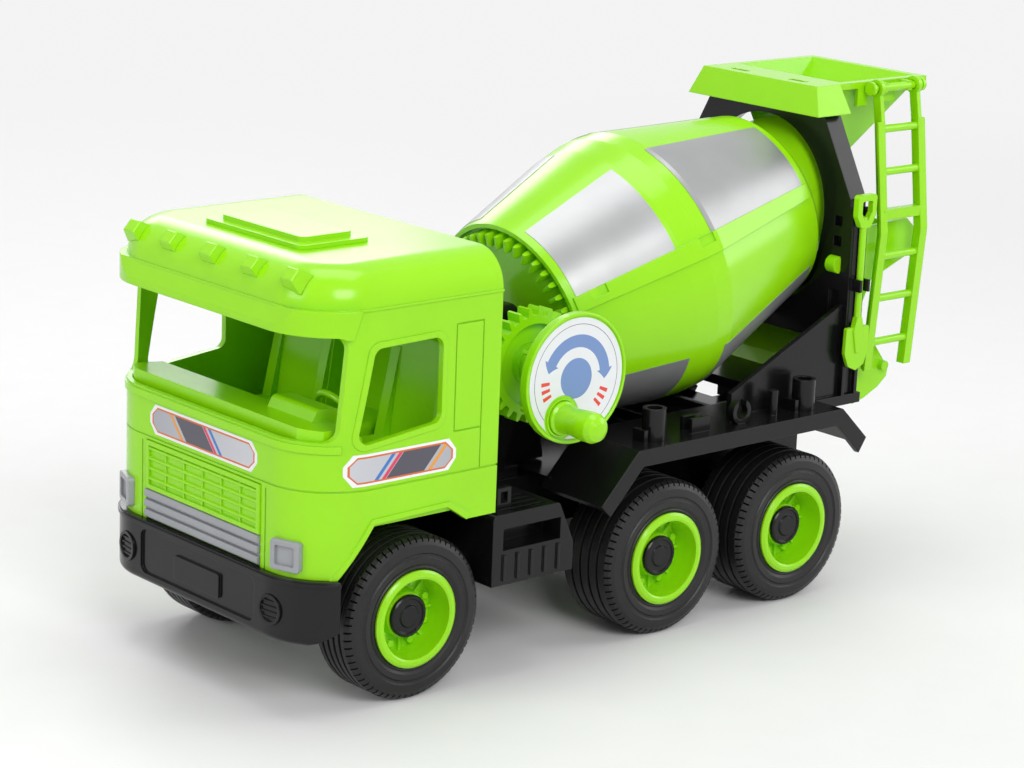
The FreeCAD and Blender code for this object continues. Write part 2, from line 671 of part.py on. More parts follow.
def drum_half(upper):
    # outline starts on the +Y side, so a half turn covers the upper shell
    start = 0.0 if upper else 180.0
    shell = spun(drum_wall_profile(), 180.0, start)
    half = crown_count // 2
    parts = [shell]
    for k in range(half):
        peg = crown_peg(k)
        peg_upper = peg.CenterOfMass.z > 0
        if peg_upper != upper:
            peg.rotate(V(0, 0, 0), V(1, 0, 0), 180)
        parts.append(peg)
    # raised band beside one seam, with two latch notches in it
    for turn in (180.0,):
        s0, s1 = 2.0, drum_tail_s - 2
        grow = 1.1
        span = band_wide
        strip = [(s0, outline_radius(s0) - 1), (s0, outline_radius(s0) + grow),
                 (drum_band_s, drum_band_r + grow), (drum_max_s - 6, drum_max_r + grow),
                 (drum_max_s + 4, drum_max_r + grow), (s1, outline_radius(s1) + grow),
                 (s1, outline_radius(s1) - 1), (drum_max_s + 4, drum_max_r - 1),
                 (drum_max_s - 6, drum_max_r - 1), (drum_band_s, drum_band_r - 1)]
        band = spun(strip, span, start + turn - span)
        for s_mid, long in ((14.0, 10.0), (drum_max_s - 3.0, 9.0)):
            r_here = outline_radius(s_mid)
            notch = box(s_mid - long / 2, s_mid + long / 2, -3.4, 1.0, r_here + 0.2, r_here + 6)
            notch.rotate(V(0, 0, 0), V(1, 0, 0), start + turn - span + 1.0 - 90.0)
            band = band.cut(notch)
        parts.append(band)
    return on_drum(joined(parts), drum_turn)


panel_span = 46.0          # degrees of drum covered by each foil panel
panel_a = 43.4
panel_b = 180.0 - band_wide - panel_span


def drum_panels(s0, s1, inner_knots):
    """Four thin foil patches equally spaced round the drum."""
    foil = 0.25
    knots = [s0] + [s for s in inner_knots if s0 < s < s1] + [s1]
    low = [(s, outline_radius(s)) for s in knots]
    high = [(s, outline_radius(s) + foil) for s in reversed(knots)]
    patches = []
    for quarter in (0, 1, 2, 3):
        begin = 180.0 * (quarter // 2) + (panel_a if quarter % 2 == 0 else panel_b)
        patches.append(on_drum(spun(low + high, panel_span, begin), drum_turn))
    return Part.makeCompound(patches)


def drum_spindle():
    pts = [(-21.5, 0.0), (-21.5, 4.2), (-20.7, 5.0), (6.4, 5.0), (6.4, 13.0), (9.0, 13.0), (9.0, 7.0),
           (16.0, 6.0), (16.0, 0.0)]
    return on_drum(spun(pts))


def drum_clear(gap):
    """Space the turning drum sweeps, with a gap round it."""
    pts = [(-5.5, 0.0), (-5.5, drum_front_r + gap), (drum_band_s, drum_band_r + gap + 2),
           (drum_max_s - 6, drum_max_r + gap + 2), (drum_max_s + 4, drum_max_r + gap + 2),
           (drum_tail_s, drum_tail_r + gap + 1.2), (drum_tail_s + 6.6, drum_tail_r - 2 + gap),
           (drum_tail_s + 6.6, 0.0)]
    return on_drum(spun(pts))


# ---------------------------------------------------------------- crank
knob_dx, knob_dz = -8.0, -17.0


def crank_axis_rod(r, y0, y1):
    return rod(r, y1 - y0, (crank_x, y0, crank_z), (0, 1, 0))


def crank_disc():
    y0 = crank_face
    disc = crank_axis_rod(disc_r, y0, y0 + disc_thick)
    disc = softened(disc, 1.0, lambda e: e.BoundBox.YLength < 0.01 and e.BoundBox.XLength > 59)
    hub = crank_axis_rod(9.0, y0 + disc_thick, -47.0)
    ribs = []
    for k in range(6):
        rib = box(-0.9, 0.9, y0 + disc_thick, y0 + disc_thick + 6, 8.0, disc_r - 3)
        rib.rotate(V(0, 0, 0), V(0, 1, 0), 60 * k)
        rib.translate(V(crank_x, 0, crank_z))
        ribs.append(rib)
    rim_ring = crank_axis_rod(disc_r, y0 - 0.9, y0 + 1.5).cut(crank_axis_rod(disc_r - 1.6, y0 - 2, y0))
    rim_ring = softened(rim_ring, 0.6, lambda e: e.BoundBox.YMax < y0 - 0.89)
    boss = rod(9.0, 2.6, (crank_x + knob_dx, y0 - 0.9, crank_z + knob_dz), (0, 1, 0))
    boss = boss.common(crank_axis_rod(disc_r - 0.5, y0 - 2, y0 + 2))
    body = joined([disc, hub, rim_ring, boss] + ribs)
    body = body.cut(rod(8.0, 4, (crank_x + knob_dx, y0 - 4, crank_z + knob_dz), (0, 1, 0)))
    return body.cut(crank_axis_rod(shaft_r, y0 + 2.0, -40))


def pinion_tooth(k):
    root, tip = pinion_pitch_r - 2.2, pinion_tip_r
    half_root, half_pitch, half_tip = 1.5, 1.15, 0.6
    pts = [(-half_root, root - 1), (half_root, root - 1), (half_root, root), (half_pitch, pinion_pitch_r),
           (half_tip, tip), (-half_tip, tip), (-half_pitch, pinion_pitch_r), (-half_root, root)]
    face = Part.Face(wire_of([(x, -47.0, z) for x, z in pts]))
    tooth = face.extrude(V(0, 8.0, 0))
    tooth.rotate(V(0, 0, 0), V(0, 1, 0), 360.0 * k / pinion_count + 90.0 - tilt)
    tooth.translate(V(crank_x, 0, crank_z))
    return tooth


def crank_pinion():
    ring = crank_axis_rod(pinion_pitch_r - 2.2, -47.0, -39.0)
    dish = crank_axis_rod(pinion_pitch_r - 6, -48.0, -43.0).cut(crank_axis_rod(10.0, -48.0, -43.0))
    hub = crank_axis_rod(9.0, -47.0, -37.0)
    body = joined([ring.cut(dish), hub] + [pinion_tooth(k) for k in range(pinion_count)])
    return body.cut(crank_axis_rod(shaft_r, -50, -30))


def crank_shaft():
    return joined([crank_axis_rod(shaft_r, crank_face + 2.0, -21.0)])





def crank_knob():
    pts = [(0.0, 0.0), (0.0, 7.6), (-2.0, 7.8), (-3.0, 6.6), (-9.0, 6.3), (-17.0, 7.0), (-22.0, 6.9),
           (-24.6, 5.6), (-26.0, 3.2), (-knob_long, 0.0)]
    body = spun(pts)
    body.rotate(V(0, 0, 0), V(0, 0, 1), 90)
    body.translate(V(crank_x + knob_dx, crank_face, crank_z + knob_dz))
    return body


def crank_label():
    label = crank_axis_rod(disc_r - 2.3, crank_face - 0.3, crank_face)
    hole = rod(10.2, 4, (crank_x + knob_dx, crank_face - 2, crank_z + knob_dz), (0, 1, 0))
    return label.cut(hole)


# ---------------------------------------------------------------- pedestal
def drum_pedestal():
    foot = box(-102, -43, -beam_half, beam_half, beam_top, beam_top + 6)
    column = box(-72, -20, -15, 15, beam_top + 4, 152)
    column = softened(column, 4.0, lambda e: e.BoundBox.ZMin > 151 and e.BoundBox.XLength > 20)
    front_rib = side_plate([(-98, beam_top + 4), (-70, beam_top + 4), (-70, 146), (-78, 146)], -3, 3)
    side_ribs = [box(-64, -58, *sorted((s * 14, s * 23)), beam_top + 4, 110) for s in (-1, 1)]
    boss = crank_axis_rod(9.0, -36.0, -14.0)
    web = box(crank_x - 4, crank_x + 4, -34.0, -14.0, beam_top + 4, crank_z - 4)
    web = web.common(side_plate([(-100, beam_top + 4), (0, beam_top + 4), (0, 150), (-100, 150)], -34, -14))
    brace = cross_plate([(-24, beam_top + 4), (-14, beam_top + 4), (-14, 126), (-34, 126), (-34, 118)],
                        crank_x - 4, crank_x + 4)
    shelf = box(-98, -72, -22, 22, 118, 122)
    legs = [box(-98, -94, y, y + 4, beam_top + 4, 119) for y in (-20, 16)]
    body = joined([foot, column, front_rib, boss, brace, shelf] + legs + side_ribs)
    body = body.cut(drum_clear(1.0))
    keep = on_drum(box(-200, -6.0, -60, 60, -200, 200))
    body = body.common(keep.fuse(box(-110, -43, -60, 60, beam_top, beam_top + 6)))
    bore = on_drum(rod(5.0 + run_gap, 19.5, (-22.5, 0, 0), (1, 0, 0)))
    body = body.cut(bore)
    pocket = box(-68, -60, -10, 10, 84, 112)
    body = body.cut(pocket)
    return body.cut(crank_axis_rod(shaft_r + run_gap, -40, -20.4))


# ---------------------------------------------------------------- arch
def axis_z_at(x):
    return drum_z + (x - drum_x) * math.tan(math.radians(tilt))


def rear_arch():
    z_mid = axis_z_at(arch_mid)
    outline = [(-arch_half, deck_top), (-arch_half, arch_kink), (-arch_head, arch_top),
               (arch_head, arch_top), (arch_half, arch_kink), (arch_half, deck_top)]
    body = cross_plate(outline, arch_front, arch_back)
    opening = on_drum(rod(43.0, 80, (140, 0, 0), (1, 0, 0)))
    under = box(arch_front - 1, arch_back + 1, -46, 46, deck_top - 1, 120)
    under = softened(under, 8.0, lambda e: e.BoundBox.XLength > 10 and e.BoundBox.ZMin > 119)
    body = body.cut(opening).cut(under)
    # two pads that carry the drum collar from below
    pads = []
    for a in (-34.0, 34.0):
        pad = box(150, 200, -5, 5, -44.5, -collar_r - 0.5)
        pad.rotate(V(0, 0, 0), V(1, 0, 0), a)
        pads.append(on_drum(pad))
    slab = box(arch_front + 2, arch_back - 2, -60, 60, 110, 200)
    pads = [p.common(slab) for p in pads]
    body = joined([body] + pads)
    body = body.cut(on_drum(rod(collar_r + run_gap, 90, (140, 0, 0), (1, 0, 0))))
    body = body.cut(drum_clear(1.0))
    # sunken panels and small square holes in the legs
    for side in (-1, 1):
        for z in (168, 178):
            a, b = sorted((side * 50.5, side * 55.5))
            body = body.cut(box(arch_front - 1, arch_front + 4, a, b, z, z + 5))
        a, b = sorted((side * 49.7, side * 56.3))
        body = body.cut(box(arch_front - 1, arch_back + 1, a, b, 155.4, 162.6))
        body = body.cut(box(arch_front - 1, arch_front + 1.4, a, b, 100, 146))
    for side in (-1, 1):
        a, b = sorted((side * (arch_half - 1), side * (arch_half + 2.2)))
        body = body.fuse(box(arch_front, arch_front + 2.0, a, b, deck_top, arch_kink - 4))
        body = body.fuse(box(arch_back - 2.0, arch_back, a, b, deck_top, arch_kink - 4))
    body = body.cut(drum_clear(1.0))
    # spring clip for the shovel on the crank side
    clip = box(arch_front + 2.0, arch_back - 2.0, -arch_half - 8.2, -arch_half + 1, 147, 153)
    clip = clip.cut(box(shovel_x - shovel_r - run_gap, shovel_x + shovel_r + run_gap,
                        -arch_half - 9, shovel_y, 140, 160))
    clip = clip.cut(rod(shovel_r + run_gap, 30, (shovel_x, shovel_y, 140), (0, 0, 1)))
    return joined([body, clip])


shovel_x = arch_mid
shovel_y = -arch_half - 4.4
shovel_r = 1.75


def shovel():
    y = shovel_y
    shaft = rod(shovel_r, 58.0, (shovel_x, y, 126), (0, 0, 1))
    outer = side_plate([(shovel_x - 6.2, 195), (shovel_x + 7.2, 195), (shovel_x + 6.8, 184.5),
                        (shovel_x + 3.4, 178.5), (shovel_x - 3.0, 178.5), (shovel_x - 6.2, 184.5)],
                       y - 1.7, y + 1.5)
    outer = softened(outer, 2.0, lambda e: abs(e.BoundBox.YLength - 3.2) < 0.01)
    hole = side_plate([(shovel_x - 3.0, 191.8), (shovel_x + 4.2, 191.8), (shovel_x + 4.0, 186.0),
                       (shovel_x + 1.6, 182.4), (shovel_x - 1.4, 182.4), (shovel_x - 3.0, 186.0)], y - 3, y + 3)
    hole = softened(hole, 1.0, lambda e: abs(e.BoundBox.YLength - 6.0) < 0.01)
    blade_line = [(shovel_x - 8.0, 129), (shovel_x + 8.0, 129), (shovel_x + 8.4, 116),
                  (shovel_x + 5.4, 109.4), (shovel_x, 107), (shovel_x - 5.4, 109.4), (shovel_x - 8.4, 116)]
    blade = side_plate(blade_line, y - 1.0, y + 1.0)
    blade = softened(blade, 1.2, lambda e: abs(e.BoundBox.YLength - 2.0) < 0.01)
    neck = side_plate([(shovel_x - 1.7, 134), (shovel_x + 1.7, 134), (shovel_x + 3.6, 127),
                       (shovel_x + 1.2, 116), (shovel_x - 1.2, 116), (shovel_x - 3.6, 127)], y - 1.75, y + 1.2)
    return joined([shaft, outer.cut(hole), blade, neck])


# ---------------------------------------------------------------- hopper
hopper_top = 245.0
rail_low_x, rail_high_x = 166.0, 193.0
rail_thick = 2.6
hinge_y, hinge_z = -43.4, 242.0
pivot_r = 2.0


def hopper():
    half = 39.0
    visor_x, mouth_x = 124.0, 147.5
    # box-like visor over the arch, slanted at the front and at both ends
    front_low = rect(visor_x, mouth_x, half + 6, arch_top)
    front_high = rect(visor_x + 4, mouth_x - 3, half, hopper_top)
    in_low = rect(visor_x + 2.4, mouth_x + 6, half + 3.8, arch_top - 1)
    in_high = rect(visor_x + 6.4, mouth_x + 6, half - 2.2, hopper_top - 2.2)
    visor = six_sided(front_low, front_high).cut(six_sided(in_low, in_high))
    plate = box(visor_x + 4, hopper_rear, -half, half, hopper_top - 1.6, hopper_top)
    edge = box(mouth_x - 3, hopper_rear, -half, half, hopper_top - 3.2, hopper_top)
    edge = edge.cut(box(mouth_x - 4, hopper_rear - 2, -half + 2, half - 2, hopper_top - 4, hopper_top - 1.6))
    tabs = []
    for y in (-half, half - 2.2):
        for x0, x1, low in ((158.0, 165.0, 233.0), (177.0, 185.0, 234.0), (200.0, 204.0, 234.5)):
            tabs.append(box(x0, x1, y, y + 2.2, low, hopper_top - 1))
    shell = joined([visor, plate, edge] + tabs)
    # funnel that drops towards the drum mouth
    outer = six_sided(rect(150.5, 176, 15, funnel_low), rect(mouth_x - 0.6, hopper_rear - 2, half - 2, hopper_top))
    inner = six_sided(rect(152.6, 174, 13, funnel_low - 1), rect(mouth_x + 1.5, hopper_rear - 4, half - 4, hopper_top + 1))
    shell = joined([shell, outer]).cut(inner)
    for y in (-20, 20):
        shell = shell.cut(softened(box(visor_x + 9, visor_x + 12.4, y - 6, y + 6, 240, 250), 1.0,
                                   lambda e: e.BoundBox.ZLength > 9))
    # ribs and saddle that sit on the arch
    saddle = box(arch_front, 150, -36, 36, arch_top, arch_top + 2.4)
    body = six_sided(front_low, front_high)
    stem = [box(arch_front + 1, 146, y, y + 2, arch_top, hopper_top).common(body) for y in (-24, 22)]
    shell = joined([shell, saddle.cut(inner)] + stem)
    # ears and rod the ladder hangs on
    ears = [box(x, x + 3.4, hinge_y - 1.4, -half + 1, hinge_z - 2.4, hinge_z + 2.4) for x in (170.2, 188.0)]
    bar = rod(pivot_r, 36.4, (162.6, hinge_y, hinge_z), (1, 0, 0))
    heads = [rod(3.4, 2.0, (161.6, hinge_y, hinge_z), (1, 0, 0)),
             rod(3.4, 2.0, (197.6, hinge_y, hinge_z), (1, 0, 0))]
    return joined([shell, bar] + ears + heads)


funnel_low = 203.0


def ladder():
    path = [(hinge_y, hinge_z), (-46.2, 226), (-53, 171), (-48, 100)]
    half = 2.4

    def strip(x0, x1, wide):
        left = [(y - wide, z) for y, z in path]
        right = [(y + wide, z) for y, z in reversed(path)]
        return cross_plate(left + right, x0, x1)

    parts = []
    for x in (rail_low_x, rail_high_x):
        parts.append(strip(x, x + rail_thick, half))
        parts.append(rod(4.4, rail_thick, (x, hinge_y, hinge_z), (1, 0, 0)))
    # outer flange makes each rail an angle section
    for x0, x1 in ((rail_low_x - 2.4, rail_low_x + 0.5), (rail_high_x + rail_thick - 0.5,
                                                          rail_high_x + rail_thick + 2.4)):
        flange = cross_plate([(-46.2 - half, 226), (-53 - half, 171), (-48 - half, 100),
                              (-48 - half + 1.4, 100), (-53 - half + 1.4, 171), (-46.2 - half + 1.4, 226)],
                             x0, x1)
        parts.append(flange)

    def y_at(z):
        for (y0, z0), (y1, z1) in zip(path, path[1:]):
            if z1 <= z <= z0:
                return y0 + (y1 - y0) * (z - z0) / (z1 - z0)
        return path[-1][0]

    for k, z in enumerate((222, 201, 180, 159, 137, 114)):
        span = rail_high_x - rail_low_x + 1.0
        if k == 2:
            parts.append(box(rail_low_x + 0.5, rail_high_x + 1.5, y_at(z) - 2.3, y_at(z) + 2.3,
                             z - 2.6, z + 2.6))
        else:
            parts.append(rod(2.0, span, (rail_low_x + 1.0, y_at(z), z), (1, 0, 0)))
    body = joined(parts)
    return body.cut(rod(pivot_r + run_gap, 60, (150, hinge_y, hinge_z), (1, 0, 0)))


# ---------------------------------------------------------------- chute
chute_pin_x, chute_pin_z = 157.0, 131.0
chute_pin_r = 2.5
chute_in, chute_out = 37.6, 40.0       # inner and outer face of each cheek of the trough


def chute_collector():
    """Open box behind the arch that catches what leaves the drum."""
    outside = [(arch_back, 172), (arch_back, 127), (161, 125), (166, 133), (172, 145), (201, 156), (203, 168),
               (196, 174), (160, 172)]
    walls = []
    for y in (-43.4, 41.0):
        walls.append(side_plate(outside, y, y + 2.4))
    floor = side_plate([(171, 145), (201.5, 156.4), (201.5, 159), (171, 147.6)], -43, 43)
    back = side_plate([(199.4, 157), (201.8, 157), (203, 168), (200.4, 169)], -43, 43)
    flange = box(arch_back, arch_back + 3, -56, 56, 146, 172)
    flange = flange.cut(on_drum(rod(43.0, 100, (140, 0, 0), (1, 0, 0))))
    ties = [box(arch_back, 150, *sorted((s * 41.2, s * 46)), 140, 152) for s in (-1, 1)]
    parts = [floor, back, flange] + walls + ties
    for side in (-1, 1):
        a, b = sorted((side * 50, side * 56))
        parts.append(box(arch_front - 3.0, arch_back + 1, a, b, 155.7, 162.3))
        lug = rod(4.2, 6, (arch_front - 0.6, side * 53 - 3, 159), (0, 1, 0))
        parts.append(lug.common(box(arch_front - 8, arch_front - 0.2, a, b, 150, 170)))
    body = joined(parts)
    body = body.cut(rod(chute_pin_r + run_gap, 120, (chute_pin_x, -60, chute_pin_z), (0, 1, 0)))
    return body


def chute_trough():
    """Curved scoop that hangs on two pins and swings out behind the truck."""
    front = [(152.4, 134.0), (150.6, 126.0), (151.0, 112.0), (153.2, 100.0), (157.4, 90.0), (164.0, 82.5),
             (168.0, 80.0)]
    rear = [(176.0, 82.0), (186.0, 86.5), (192.4, 91.5), (193.0, 96.0), (163.4, 132.0), (160.0, 136.6),
            (155.0, 137.0)]
    outline = front + rear
    cheeks = [side_plate(outline, *sorted((s * chute_in, s * chute_out))) for s in (-1, 1)]
    inset = [(x + 2.3, z + 0.9) for x, z in front]
    web = side_plate(front[1:] + list(reversed(inset[1:])), -chute_out, chute_out)
    rib = [side_plate(front[2:] + list(reversed([(x + 5.0, z + 2.0) for x, z in front[2:-1]])), y - 0.8, y + 0.8)
           for y in (-19, 0, 19)]
    pins = []
    for s in (-1, 1):
        a, b = sorted((s * (chute_out - 1), s * 44.6))
        pins.append(rod(chute_pin_r, b - a, (chute_pin_x, a, chute_pin_z), (0, 1, 0)))
        c, d = sorted((s * 44.0, s * 46.4))
        pins.append(rod(4.4, d - c, (chute_pin_x, c, chute_pin_z), (0, 1, 0)))
        e, f = sorted((s * (chute_out - 0.4), s * (chute_out + 3.0)))
        pins.append(rod(2.6, f - e, (187.5, e, 98.0), (0, 1, 0)))
    return joined(cheeks + [web] + rib + pins)


# ---------------------------------------------------------------- build everything
save("chassis_frame", chassis_frame())
save("front_bumper", front_bumper())
save("fog_lamps", fog_lamps())
save("side_step_left", side_step(-1))
save("side_step_right", side_step(1))
save("cab_lower_shell", cab_lower_shell())
save("cab_upper_shell", cab_upper_shell())
save("cab_floor", cab_floor())
save("seat_left", seat(-42))
save("seat_right", seat(42))
save("dashboard", dashboard())
save("roof_hatch", roof_hatch())
save("marker_lamps", marker_lamps())
save("headlights", headlights())
save("grille", grille())
save("grille_bar", grille_bar())
save("side_labels", side_labels())
save("front_label", front_label())
for place in ("front", "middle", "rear"):
    tyre_shape, rim_shape, cap_shape = tyre(place), rim(place), hub_cap(place)
    for word, side in (("left", -1), ("right", 1)):
        save("tyre_%s_%s" % (place, word), place_wheel(tyre_shape, place, side))
        save("rim_%s_%s" % (place, word), place_wheel(rim_shape, place, side))
        save("hub_cap_%s_%s" % (place, word), place_wheel(cap_shape, place, side))
    save("axle_%s" % place, axle(place))
save("rear_deck", rear_deck())
save("deck_sockets", deck_sockets())
save("drum_pedestal", drum_pedestal())
save("rear_arch", rear_arch())
save("shovel", shovel())
save("drum_half_upper", drum_half(True))
save("drum_half_lower", drum_half(False))
save("drum_spindle", drum_spindle())
save("drum_panels_front", drum_panels(4.0, drum_band_s - 2.5, []))
save("drum_panels_rear", drum_panels(drum_max_s + 1.5, drum_tail_s - 4, [drum_max_s + 4]))
save("crank_disc", crank_disc())
save("crank_pinion", crank_pinion())
save("crank_shaft", crank_shaft())
save("crank_knob", crank_knob())
save("crank_label", crank_label())
save("hopper", hopper())
save("ladder", ladder())
save("chute_collector", chute_collector())
save("chute_trough", chute_trough())
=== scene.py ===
import json
import math
import bpy
from mathutils import Matrix, Vector


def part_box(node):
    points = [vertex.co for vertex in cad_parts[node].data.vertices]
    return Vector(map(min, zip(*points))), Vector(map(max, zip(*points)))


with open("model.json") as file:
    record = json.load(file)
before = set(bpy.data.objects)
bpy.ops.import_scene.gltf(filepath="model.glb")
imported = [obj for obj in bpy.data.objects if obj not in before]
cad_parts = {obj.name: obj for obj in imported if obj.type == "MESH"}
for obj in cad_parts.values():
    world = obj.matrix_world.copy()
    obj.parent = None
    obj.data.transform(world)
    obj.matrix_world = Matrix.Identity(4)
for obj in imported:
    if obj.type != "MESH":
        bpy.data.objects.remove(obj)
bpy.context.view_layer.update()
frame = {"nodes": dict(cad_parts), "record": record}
nodes = frame["nodes"]


# small helpers for shader trees
def newMaterial(name, colour):
    mat = bpy.data.materials.new(name)
    mat.use_nodes = True
    mat.diffuse_color = (*colour, 1)
    tree = mat.node_tree
    tree.nodes.clear()
    out = tree.nodes.new("ShaderNodeOutputMaterial")
    skin = tree.nodes.new("ShaderNodeBsdfPrincipled")
    tree.links.new(skin.outputs["BSDF"], out.inputs["Surface"])
    skin.inputs["Base Color"].default_value = (*colour, 1)
    return mat, tree, skin


def addNode(tree, kind, **settings):
    node = tree.nodes.new(kind)
    for key, value in settings.items():
        setattr(node, key, value)
    return node


def objectSpace(tree):
    return addNode(tree, "ShaderNodeTexCoord").outputs["Object"]


def noiseAt(tree, where, scale, detail=2.0, rough=0.5):
    noise = addNode(tree, "ShaderNodeTexNoise")
    noise.inputs["Scale"].default_value = scale
    noise.inputs["Detail"].default_value = detail
    noise.inputs["Roughness"].default_value = rough
    tree.links.new(where, noise.inputs["Vector"])
    return noise.outputs["Fac"]


def rampOf(tree, value, stops):
    ramp = addNode(tree, "ShaderNodeValToRGB")
    ramp.color_ramp.elements.remove(ramp.color_ramp.elements[1])
    first = True
    for place, colour in stops:
        stop = ramp.color_ramp.elements[0] if first else ramp.color_ramp.elements.new(place)
        stop.position = place
        stop.color = (*colour, 1)
        first = False
    tree.links.new(value, ramp.inputs["Fac"])
    return ramp.outputs["Color"]


def tinted(colour, share):
    return tuple(max(0.0, min(1.0, c * share)) for c in colour)


plasticLook = {"bevelSamples": 4, "ior": 1.49, "coatRough": 0.12, "glowDepth": 0.003,
               "glowTint": (0.5, 1.0, 0.2)}


def softEdges(tree, skin, look, height):
    # rounds the light on sharp moulded edges, with the grain laid over it
    edge = addNode(tree, "ShaderNodeBevel", samples=plasticLook["bevelSamples"])
    edge.inputs["Radius"].default_value = look["edge"]
    bump = addNode(tree, "ShaderNodeBump")
    bump.inputs["Strength"].default_value = look["grainStrength"]
    bump.inputs["Distance"].default_value = look["grainDepth"]
    tree.links.new(height, bump.inputs["Height"])
    tree.links.new(edge.outputs["Normal"], bump.inputs["Normal"])
    tree.links.new(bump.outputs["Normal"], skin.inputs["Normal"])


def mouldedPlastic(name, look):
    mat, tree, skin = newMaterial(name, look["colour"])
    where = objectSpace(tree)
    # slow uneven tone of the moulding, then a fine surface grain
    cloud = noiseAt(tree, where, look["cloudScale"], 3.0)
    tone = rampOf(tree, cloud, [(0.25, tinted(look["colour"], 1 - look["cloud"])),
                                (0.75, tinted(look["colour"], 1 + look["cloud"]))])
    tree.links.new(tone, skin.inputs["Base Color"])
    grain = noiseAt(tree, where, look["grainScale"], 4.0, 0.6)
    shine = addNode(tree, "ShaderNodeMapRange")
    shine.inputs["To Min"].default_value = look["rough"] - look["roughSpread"]
    shine.inputs["To Max"].default_value = look["rough"] + look["roughSpread"]
    tree.links.new(noiseAt(tree, where, look["cloudScale"] * 3, 4.0), shine.inputs["Value"])
    tree.links.new(shine.outputs["Result"], skin.inputs["Roughness"])
    skin.inputs["Specular IOR Level"].default_value = look["specular"]
    skin.inputs["IOR"].default_value = plasticLook["ior"]
    skin.inputs["Coat Weight"].default_value = look["coat"]
    skin.inputs["Coat Roughness"].default_value = plasticLook["coatRough"]
    skin.inputs["Subsurface Weight"].default_value = look["glow"]
    skin.inputs["Subsurface Scale"].default_value = plasticLook["glowDepth"]
    skin.inputs["Subsurface Radius"].default_value = plasticLook["glowTint"]
    softEdges(tree, skin, look, grain)
    return mat


greenLook = {"colour": (0.295, 0.705, 0.004), "cloud": 0.03, "cloudScale": 28, "grainScale": 900,
             "grainStrength": 0.12, "grainDepth": 0.0002, "rough": 0.22, "roughSpread": 0.04,
             "specular": 0.36, "coat": 0.08, "glow": 0.05, "edge": 0.0006}
blackLook = {"colour": (0.0055, 0.0055, 0.006), "cloud": 0.2, "cloudScale": 40, "grainScale": 700,
             "grainStrength": 0.15, "grainDepth": 0.0002, "rough": 0.20, "roughSpread": 0.04,
             "specular": 0.30, "coat": 0.0, "glow": 0.0, "edge": 0.0006}
tyreLook = {"colour": (0.010, 0.010, 0.010), "cloud": 0.25, "cloudScale": 60, "grainScale": 1400,
            "grainStrength": 0.35, "grainDepth": 0.0003, "rough": 0.38, "roughSpread": 0.06,
            "specular": 0.36, "coat": 0.0, "glow": 0.0, "edge": 0.0004}
greyLook = {"colour": (0.30, 0.31, 0.33), "cloud": 0.05, "cloudScale": 50, "grainScale": 1000,
            "grainStrength": 0.12, "grainDepth": 0.0002, "rough": 0.33, "roughSpread": 0.05,
            "specular": 0.5, "coat": 0.1, "glow": 0.0, "edge": 0.0005}


def foilFilm(name, look):
    mat, tree, skin = newMaterial(name, look["colour"])
    where = objectSpace(tree)
    # faint creases and bubbles where the film was laid on
    crease = noiseAt(tree, where, look["creaseScale"], 3.0, 0.45)
    fine = noiseAt(tree, where, look["grainScale"], 2.0)
    tone = rampOf(tree, crease, [(0.3, tinted(look["colour"], 1 - look["cloudDown"])),
                                 (0.7, tinted(look["colour"], 1 + look["cloudUp"]))])
    tree.links.new(tone, skin.inputs["Base Color"])
    skin.inputs["Metallic"].default_value = look["metal"]
    skin.inputs["Roughness"].default_value = look["rough"]
    low = addNode(tree, "ShaderNodeBump")
    low.inputs["Strength"].default_value = look["creaseStrength"]
    low.inputs["Distance"].default_value = look["creaseDepth"]
    tree.links.new(crease, low.inputs["Height"])
    high = addNode(tree, "ShaderNodeBump")
    high.inputs["Strength"].default_value = look["grainStrength"]
    high.inputs["Distance"].default_value = look["grainDepth"]
    tree.links.new(fine, high.inputs["Height"])
    tree.links.new(low.outputs["Normal"], high.inputs["Normal"])
    tree.links.new(high.outputs["Normal"], skin.inputs["Normal"])
    return mat


foilLook = {"colour": (0.36, 0.365, 0.37), "metal": 0.5, "rough": 0.33, "creaseScale": 38,
            "creaseDepth": 0.0004, "creaseStrength": 0.35, "cloudDown": 0.06, "cloudUp": 0.05,
            "grainScale": 1600, "grainStrength": 0.15, "grainDepth": 0.0001}


def turnedSteel(name, look):
    mat, tree, skin = newMaterial(name, look["colour"])
    where = objectSpace(tree)
    stretch = addNode(tree, "ShaderNodeMapping")
    stretch.inputs["Scale"].default_value = look["stretch"]
    tree.links.new(where, stretch.inputs["Vector"])
    lines = noiseAt(tree, stretch.outputs["Vector"], look["lineScale"], 2.0)
    skin.inputs["Metallic"].default_value = 1.0
    tree.links.new(rampOf(tree, lines, [(0.3, (look["roughLow"],) * 3), (0.7, (look["roughHigh"],) * 3)]),
                   skin.inputs["Roughness"])
    return mat


steelLook = {"colour": (0.55, 0.55, 0.56), "stretch": (1, 0.05, 1), "lineScale": 2500,
             "roughLow": 0.20, "roughHigh": 0.42}


def sums(tree, kind, a, b=None):
    node = addNode(tree, "ShaderNodeMath", operation=kind)
    for i, v in enumerate((a, b)):
        if v is None:
            continue
        if isinstance(v, (int, float)):
            node.inputs[i].default_value = v
        else:
            tree.links.new(v, node.inputs[i])
    return node.outputs["Value"]


def mixColour(tree, share, under, over):
    mix = addNode(tree, "ShaderNodeMix", data_type="RGBA")
    for key, v in ((6, under), (7, over)):
        if isinstance(v, tuple):
            mix.inputs[key].default_value = (*v, 1)
        else:
            tree.links.new(v, mix.inputs[key])
    tree.links.new(share, mix.inputs[0])
    return mix.outputs[2]


def between(tree, value, low, high):
    return sums(tree, "MULTIPLY", sums(tree, "GREATER_THAN", value, low),
                sums(tree, "LESS_THAN", value, high))


